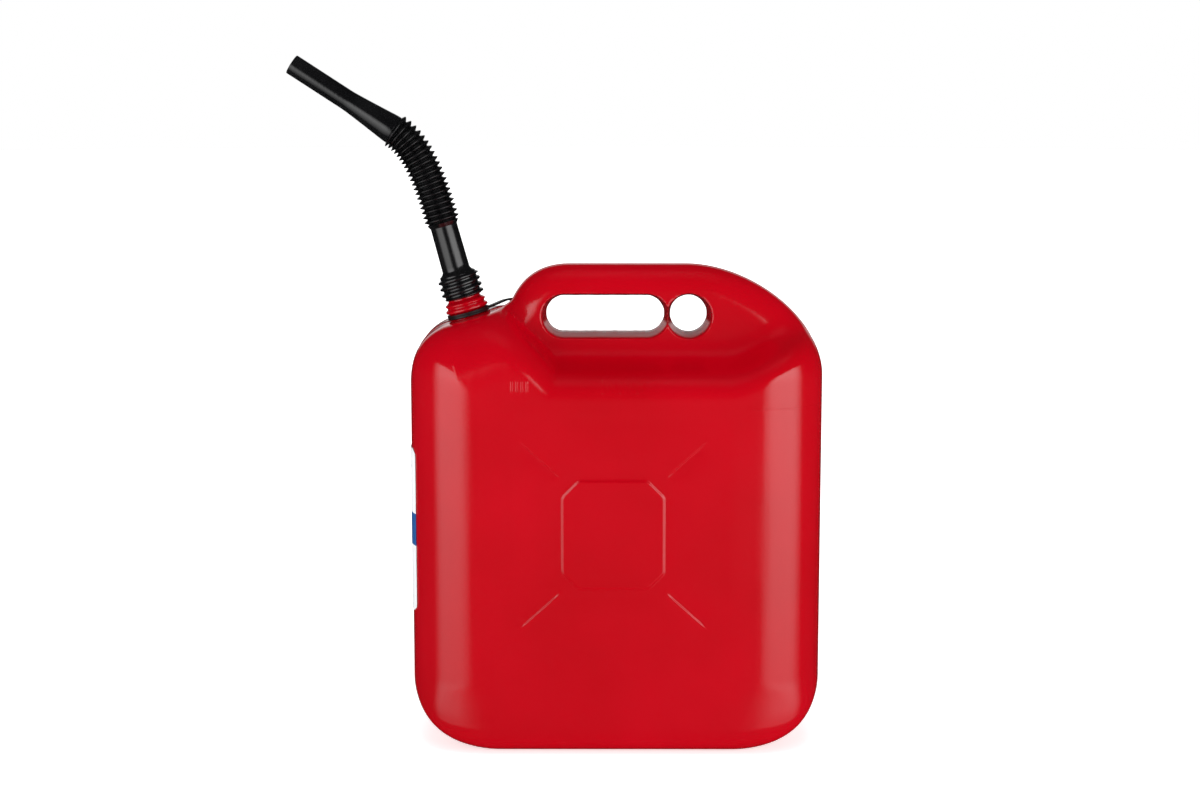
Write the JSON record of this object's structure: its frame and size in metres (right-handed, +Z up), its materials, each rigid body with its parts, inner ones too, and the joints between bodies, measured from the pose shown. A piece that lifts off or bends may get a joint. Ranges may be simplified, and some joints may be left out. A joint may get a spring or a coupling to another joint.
{
  "type": "fuel can",
  "caption": "Upright blow-moulded fuel can with a top handle, a screw-on bendable spout and a tethered child-resistant cap.",
  "frame": {"origin": "middle of the can's flat base", "axes": "+Z up, +X towards the end away from the neck, -Y out of the front face"},
  "size_m": [0.4759, 0.1922, 0.6151],
  "materials": {
    "red_polyethylene": "blow-moulded polyethylene, satin gloss",
    "printed_film": "printed self-adhesive film",
    "black_polyethylene": "blow-moulded, glossy",
    "tether_plastic": "soft injection-moulded polyethylene",
    "cap_plastic": "injection-moulded, fine texture",
    "nitrile_rubber": "moulded rubber",
    "foam_liner": "cut foam sheet"
  },
  "bodies": {
    "can": {"can_body": "red_polyethylene", "side_label": "printed_film"},
    "spout_seat": {"spout_gasket": "nitrile_rubber"},
    "spout": {"spout_base": "black_polyethylene"},
    "nozzle": {"spout_bellows": "black_polyethylene", "spout_nozzle": "black_polyethylene"},
    "tether_swivel": {"tether_ring": "tether_plastic"},
    "tether": {"tether_strap": "tether_plastic"},
    "cap": {"cap_outer_shell": "cap_plastic"},
    "cap_insert": {"cap_inner_shell": "cap_plastic", "cap_liner": "foam_liner"}
  },
  "joints": [
    {"name": "spout_rise", "type": "slide", "parent": "can", "child": "spout_seat", "axis": [-0.2639, 0, 0.9646], "range_m": [0, 0.0118]},
    {"name": "spout_unscrew", "type": "hinge", "parent": "spout_seat", "child": "spout", "pos_m": [-0.13969, 0, 0.41101], "axis": [-0.2639, 0, 0.9646], "range_deg": [0, 720]},
    {"name": "spout_bend", "type": "hinge", "parent": "spout", "child": "nozzle", "pos_m": [-0.17312, 0, 0.53321], "axis": [0, -1, 0], "range_deg": [-41, 45], "deforming": ["spout_bellows"]},
    {"name": "tether_turn", "type": "hinge", "parent": "can", "child": "tether_swivel", "pos_m": [-0.13301, 0, 0.3866], "axis": [-0.2639, 0, 0.9646], "range_deg": [0, 100]},
    {"name": "strap_lift", "type": "hinge", "parent": "tether_swivel", "child": "tether", "pos_m": [-0.11656, 0.0129, 0.38997], "axis": [0.7552, -0.6221, 0.2066], "range_deg": [0, 75]},
    {"name": "cap_turn", "type": "hinge", "parent": "tether", "child": "cap", "pos_m": [-0.09, 0.0869, 0.336], "axis": [0, 1, 0], "continuous": true},
    {"name": "cap_push", "type": "slide", "parent": "cap", "child": "cap_insert", "axis": [0, -1, 0], "range_m": [0, 0.0021], "stiffness_N_per_m": 1500}
  ],
  "couplings": [
    {"joint": "spout_rise", "follows": "spout_unscrew", "m_per_rad": 0.0009231}
  ]
}
